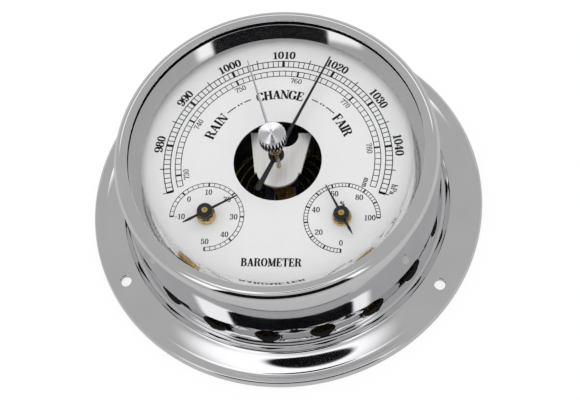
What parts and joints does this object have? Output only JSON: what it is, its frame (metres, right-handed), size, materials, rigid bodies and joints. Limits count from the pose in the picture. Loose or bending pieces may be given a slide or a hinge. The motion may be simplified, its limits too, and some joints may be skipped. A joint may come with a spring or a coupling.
{
  "type": "ship barometer",
  "caption": "Round chromed wall barometer with open-centre dial, small thermometer and hygrometer, setting knob through the glass, vented case and screw-on flange.",
  "frame": {"origin": "centre of the back, on the plane where the flange meets the wall", "axes": "+Z out of the dial, +Y towards twelve o'clock, +X towards three o'clock"},
  "size_m": [0.125, 0.1248, 0.0496],
  "materials": {
    "chrome_case": "polished chrome plate on brass",
    "polished_reflector": "polished",
    "chrome_knob": "turned and chromed",
    "black_paint": "satin black",
    "glass": "clear polished",
    "rubber": "matte",
    "dial_white": "printed satin",
    "black_hand": "satin black",
    "silver_hand": "nickel plated",
    "brushed_bridge": "brushed",
    "blued_steel": "blued",
    "bimetal": "rolled",
    "humidity_ribbon": "coated ribbon",
    "capsule_brass": "pressed and lacquered",
    "brass": "turned",
    "steel": "machined"
  },
  "bodies": {
    "case": {"aneroid_capsule": "capsule_brass", "back_plate": "black_paint", "back_ring": "brass", "back_screw_1": "steel", "back_screw_2": "steel", "back_screw_3": "steel", "bearing_plate": "brass", "bezel_ring": "chrome_case", "bezel_skirt": "chrome_case", "bridge_pillar_1": "brass", "bridge_pillar_2": "brass", "bridge_plate": "brushed_bridge", "bridge_screw_1": "steel", "bridge_screw_2": "steel", "capsule_foot": "capsule_brass", "case_wall": "chrome_case", "dial_pillar_1": "brass", "dial_pillar_2": "brass", "dial_pillar_3": "brass", "dial_plate": "dial_white", "dial_support_ring": "brass", "friction_washer": "steel", "glass_gasket": "rubber", "glass_pane": "glass", "hairspring": "blued_steel", "hairspring_stud": "brass", "hygrometer_bush": "brass", "hygrometer_coil": "humidity_ribbon", "hygrometer_post": "brass", "main_spring": "blued_steel", "mounting_flange": "chrome_case", "movement_base": "steel", "pillar_screw_1": "steel", "pillar_screw_2": "steel", "pillar_screw_3": "steel", "reflector_ring": "polished_reflector", "rocker_bracket": "brass", "spring_screw_1": "steel", "spring_screw_2": "steel", "stem_bush": "brass", "thermometer_bush": "brass", "thermometer_coil": "bimetal", "thermometer_post": "brass"},
    "setting_knob": {"setting_knob": "chrome_knob", "setting_stem": "brass", "marker_hand": "silver_hand"},
    "pressure_hand": {"pressure_hand": "black_hand", "centre_arbor": "brass"},
    "rocker": {"rocker_shaft": "steel"},
    "lever": {"main_lever": "steel"},
    "link": {"link_rod": "steel"},
    "chain": {"chain": "steel"},
    "capsule_top": {"capsule_stud": "capsule_brass"},
    "thermometer_hand": {"thermometer_hand": "black_hand", "thermometer_arbor": "brass"},
    "hygrometer_hand": {"hygrometer_hand": "black_hand", "hygrometer_arbor": "brass"},
    "calibration": {"calibration_screw": "brass"}
  },
  "joints": [
    {"name": "setting_turn", "type": "hinge", "parent": "case", "child": "setting_knob", "pos_m": [0, 0, 0.04], "axis": [0, 0, 1], "continuous": true},
    {"name": "pressure_turn", "type": "hinge", "parent": "case", "child": "pressure_hand", "pos_m": [0, 0, 0.03], "axis": [0, 0, 1], "range_deg": [-85.2, 132], "stiffness_Nm_per_rad": 0.0002},
    {"name": "rocker_turn", "type": "hinge", "parent": "case", "child": "rocker", "pos_m": [0, -0.026, 0.011], "axis": [1, 0, 0], "range_deg": [-11.5, 17.8]},
    {"name": "chain_slide", "type": "slide", "parent": "case", "child": "chain", "axis": [0, -1, 0], "range_m": [-0.0021, 0.00325]},
    {"name": "link_slide", "type": "slide", "parent": "case", "child": "link", "axis": [0, 0, -1], "range_m": [-0.0006, 0.00093]},
    {"name": "lever_turn", "type": "hinge", "parent": "case", "child": "lever", "pos_m": [0, -0.01, 0.0181], "axis": [1, 0, 0], "range_deg": [-1.85, 2.85]},
    {"name": "capsule_rise", "type": "slide", "parent": "case", "child": "capsule_top", "axis": [0, 0, 1], "range_m": [-0.000219, 0.000339], "deforming": ["aneroid_capsule", "main_spring"]},
    {"name": "thermometer_turn", "type": "hinge", "parent": "case", "child": "thermometer_hand", "pos_m": [-0.0206, -0.0192, 0.03], "axis": [0, 0, 1], "range_deg": [-120, 150], "stiffness_Nm_per_rad": 0.00002},
    {"name": "hygrometer_turn", "type": "hinge", "parent": "case", "child": "hygrometer_hand", "pos_m": [0.0206, -0.0192, 0.03], "axis": [0, 0, 1], "range_deg": [-118, 152], "stiffness_Nm_per_rad": 0.00002},
    {"name": "calibration_turn", "type": "hinge", "parent": "case", "child": "calibration", "pos_m": [0, 0.0274, 0.004], "axis": [0, 0, 1], "range_deg": [-180, 180]}
  ],
  "couplings": [
    {"joint": "pressure_turn", "follows": "capsule_rise", "rad_per_m": 6785.7},
    {"joint": "rocker_turn", "follows": "capsule_rise", "rad_per_m": 904.76},
    {"joint": "chain_slide", "follows": "capsule_rise", "ratio": 9.5},
    {"joint": "link_slide", "follows": "capsule_rise", "ratio": 2.7143},
    {"joint": "lever_turn", "follows": "capsule_rise", "rad_per_m": 142.86}
  ]
}
